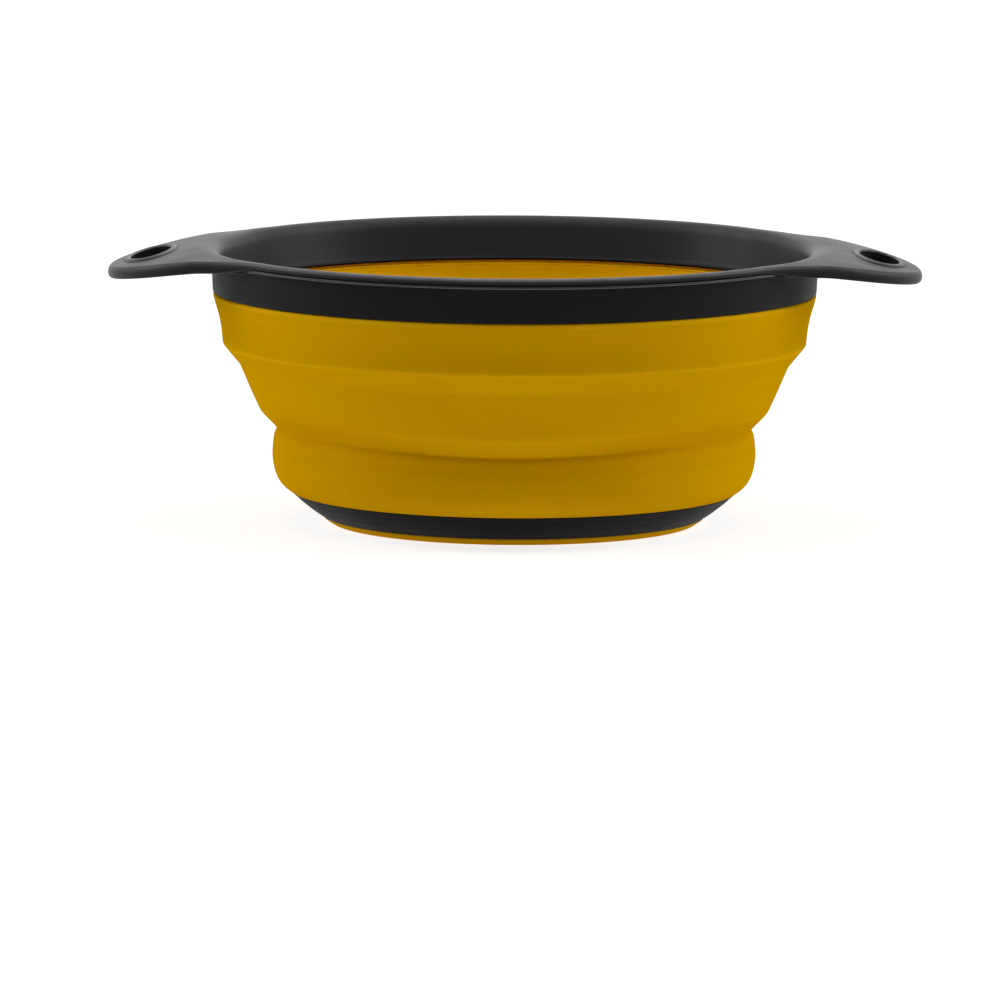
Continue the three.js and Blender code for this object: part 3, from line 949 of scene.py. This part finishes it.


# Each material's lighter edge colour is painted highlight with some edge wear, strongest on the silicone's
# folds and crease; its darker hollow colour is painted shade.
SILICONE = moulded("mustard_silicone", (0.59, 0.310, 0.0), (0.86, 0.49, 0.01), (0.50, 0.23, 0.0),
                   roughness=0.6, specular=0.0, grain_scale=1600, grain_depth=0.05,
                   edge_strength=1.0, depth=0.05)
FOOT_SILICONE = moulded("foot_silicone", (0.60, 0.305, 0.0), (0.80, 0.45, 0.01), (0.46, 0.21, 0.0),
                        roughness=0.65, specular=0.0, grain_scale=1300, grain_depth=0.06,
                        depth=0.3)
# The rim's pale grey edge colour paints highlights along the lip, the handles' edges and the slots' beads.
RIM_PLASTIC = moulded("rim_plastic", (0.011, 0.011, 0.0115), (0.22, 0.22, 0.224), (0.009, 0.009, 0.010),
                      roughness=0.4, specular=0.08, grain_scale=2400, grain_depth=0.03, edge_strength=0.7)
SKIRT_PLASTIC = moulded("skirt_plastic", (0.013, 0.013, 0.0135), (0.02, 0.02, 0.021),
                        (0.007, 0.007, 0.008), roughness=0.5, specular=0.04, grain_scale=2400,
                        grain_depth=0.03)
SHADED_RIM_PLASTIC = moulded("rim_plastic_painted_shade", (0.005, 0.005, 0.0055), (0.012, 0.012, 0.013),
                       (0.003, 0.003, 0.003), roughness=0.6, specular=0.03, grain_scale=2400,
                       grain_depth=0.03)
BASE_PLASTIC = moulded("base_plastic", (0.009, 0.009, 0.0095), (0.016, 0.016, 0.017),
                       (0.006, 0.006, 0.006), roughness=0.5, specular=0.025, grain_scale=2400,
                       grain_depth=0.03)
PLATE_PLASTIC = moulded("plate_plastic", (0.016, 0.016, 0.017), (0.035, 0.035, 0.037),
                        (0.01, 0.01, 0.011), roughness=0.48, specular=0.12, grain_scale=1800,
                        grain_depth=0.04)

wall = piece("silicone_wall", wall_surface(), SILICONE,
             ["upper_wall", *[f"fold_hoop_{k}" for k in range(1, 7)], "belly_wall"])
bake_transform(wall)

rim = piece("rim_with_handles", rim_surface(), RIM_PLASTIC, ["rim_frame"],
            from_above=True)
# The slot walls and the funnel's foot take a darker copy of the rim's plastic, as painted shade.
rim.data.materials.append(SHADED_RIM_PLASTIC)
rim.data.polygons.foreach_set("material_index", shaded_faces(rim.data).astype(np.int32))
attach(rim, "rim")
skirt = piece("skirt_band", skirt_surface(), SKIRT_PLASTIC, ["skirt_ring"])
# The ledge takes the rim's plastic, whose lighter edges paint a highlight line along it.
skirt.data.materials.append(RIM_PLASTIC)
skirt.data.polygons.foreach_set("material_index", ledge_highlight_faces(skirt.data).astype(np.int32))
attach(skirt, "rim")
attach(piece("base_band", base_surface(), BASE_PLASTIC, ["base_ring"]), "base")
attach(piece("drain_dish", drain_surface(), PLATE_PLASTIC, ["drain_plate"]), "base")
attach(piece("foot_pad", foot_surface(), FOOT_SILICONE, ["foot_ring"]), "base")


# Studio
FLOOR_RADIUS = 12.0
FLOOR_Z = -0.0004
FLOOR_POINTS = 64
FLOOR_WHITE = 0.85
FLOOR_SEEN = 0.45
FLOOR_LIGHT = 0.36
FLOOR_GLOW_NEAR = 0.8
FLOOR_GLOW_FAR = 1.0
GLOW_REACH = (0.5, 2.5)
WORLD_LIGHT = 0.12


def studio_floor():
    """A wide pale disc under the foot, which lights the object by reflection and by a dim glow. To the
    camera and in reflections it glows nearly white and reflects less, so that it keeps the object's shadow
    and shows little of the object's colour."""
    mesh = bpy.data.meshes.new("floor")
    border = polar(np.full(FLOOR_POINTS, FLOOR_RADIUS), circle(FLOOR_POINTS))
    mesh.from_pydata(lift(border, np.full(FLOOR_POINTS, FLOOR_Z)), [], [list(range(FLOOR_POINTS))])
    floor = bpy.data.objects.new("floor", mesh)
    bpy.context.scene.collection.objects.link(floor)
    material = bpy.data.materials.new("pale_floor")
    material.use_nodes = True
    tree = material.node_tree
    shader = tree.nodes["Principled BSDF"]
    seen = white_rays(tree)
    grey = add_node(tree, "ShaderNodeMapRange", {
        "Value": seen, "To Min": FLOOR_WHITE, "To Max": FLOOR_SEEN})
    tree.links.new(grey.outputs["Result"], shader.inputs["Base Color"])
    shader.inputs["Roughness"].default_value = 1.0
    shader.inputs["Specular IOR Level"].default_value = 0.0
    shader.inputs["Emission Color"].default_value = (1, 1, 1, 1)
    place = add_node(tree, "ShaderNodeTexCoord").outputs["Object"]
    distance = add_node(tree, "ShaderNodeVectorMath", {0: place}, operation="LENGTH").outputs["Value"]
    own = add_node(tree, "ShaderNodeMapRange", {
        "Value": distance, "From Min": GLOW_REACH[0], "From Max": GLOW_REACH[1],
        "To Min": FLOOR_GLOW_NEAR, "To Max": FLOOR_GLOW_FAR})
    glow = add_node(tree, "ShaderNodeMapRange", {
        "Value": seen, "To Min": FLOOR_LIGHT, "To Max": own.outputs["Result"]})
    tree.links.new(glow.outputs["Result"], shader.inputs["Emission Strength"])
    mesh.materials.append(material)


def white_rays(tree):
    """One for camera, glossy and transmission rays, which see a white background, and zero for the rest."""
    path = add_node(tree, "ShaderNodeLightPath")
    some = add_node(tree, "ShaderNodeMath", {
        0: path.outputs["Is Camera Ray"], 1: path.outputs["Is Glossy Ray"]}, operation="ADD")
    every = add_node(tree, "ShaderNodeMath", {
        0: some.outputs[0], 1: path.outputs["Is Transmission Ray"]}, operation="ADD", use_clamp=True)
    return every.outputs[0]


def studio_world():
    """Even dim light from all round, behind a white background."""
    world = bpy.data.worlds.new("studio")
    world.use_nodes = True
    tree = world.node_tree
    background = tree.nodes["Background"]
    background.inputs["Color"].default_value = (1, 1, 1, 1)
    level = add_node(tree, "ShaderNodeMapRange", {
        "Value": white_rays(tree), "To Min": WORLD_LIGHT, "To Max": 1.0})
    tree.links.new(level.outputs["Result"], background.inputs["Strength"])
    bpy.context.scene.world = world


def softbox(name, place, target, size, power):
    """A square soft light, turned to its target."""
    light = bpy.data.lights.new(name, "AREA")
    light.shape = "SQUARE"
    light.size = size
    light.energy = power
    lamp = bpy.data.objects.new(name, light)
    lamp.location = place
    lamp.rotation_euler = (Vector(target) - Vector(place)).to_track_quat("-Z", "Y").to_euler()
    bpy.context.scene.collection.objects.link(lamp)
    return lamp


# The photograph's view: where the axis meets the rim's height in its frame, and the camera's angles
CAMERA_ELEVATION = math.radians(6.127)
CAMERA_DISTANCE = 3.518
CAMERA_LENS = 324.8
CAMERA_TARGET = Vector((0, 0, 0.09824))
TARGET_PIXEL = (514.8, 270.5)
IMAGE_SIZE = 1000
CAMERA_ROLL = math.radians(0.27)
CAMERA_AZIMUTH = math.radians(1.3)


def photo_camera():
    """A long lens at the photograph's angle, turned so that its target lies on the target's pixel."""
    data = bpy.data.cameras.new("photo_camera")
    data.lens = CAMERA_LENS
    camera = bpy.data.objects.new("photo_camera", data)
    level = math.cos(CAMERA_ELEVATION)
    back = Vector((level * math.sin(CAMERA_AZIMUTH), -level * math.cos(CAMERA_AZIMUTH),
                   math.sin(CAMERA_ELEVATION)))
    camera.location = CAMERA_TARGET + back * CAMERA_DISTANCE
    focal = CAMERA_LENS / data.sensor_width * IMAGE_SIZE
    left = math.atan((TARGET_PIXEL[0] - IMAGE_SIZE / 2) / focal)
    down = math.atan((IMAGE_SIZE / 2 - TARGET_PIXEL[1]) / focal)
    look = (-back).to_track_quat("-Z", "Y")
    roll = Quaternion((0, 0, 1), CAMERA_ROLL)
    camera.rotation_mode = "QUATERNION"
    camera.rotation_quaternion = look @ roll @ Quaternion((1, 0, 0), -down) @ Quaternion((0, 1, 0), left)
    bpy.context.scene.collection.objects.link(camera)
    bpy.context.scene.camera = camera


BOWL_MIDDLE = (0, 0, 0.06)
FUNNEL_BACK = (0, 0.11, 0.08)

studio_floor()
studio_world()
softbox("left_softbox", (-1.45, 0.2, 0.8), BOWL_MIDDLE, size=0.8, power=12)
softbox("right_softbox", (1.45, 0.2, 0.8), BOWL_MIDDLE, size=0.8, power=12.5)
softbox("top_softbox", (0, 0.1, 1.7), BOWL_MIDDLE, size=1.2, power=6)
softbox("bowl_lamp", (0, -0.1, 0.2), FUNNEL_BACK, size=0.08, power=0.3).visible_glossy = False
softbox("back_softbox", (0, 5, 1.7), BOWL_MIDDLE, size=3, power=14)
photo_camera()
bpy.context.scene.view_settings.view_transform = "Standard"
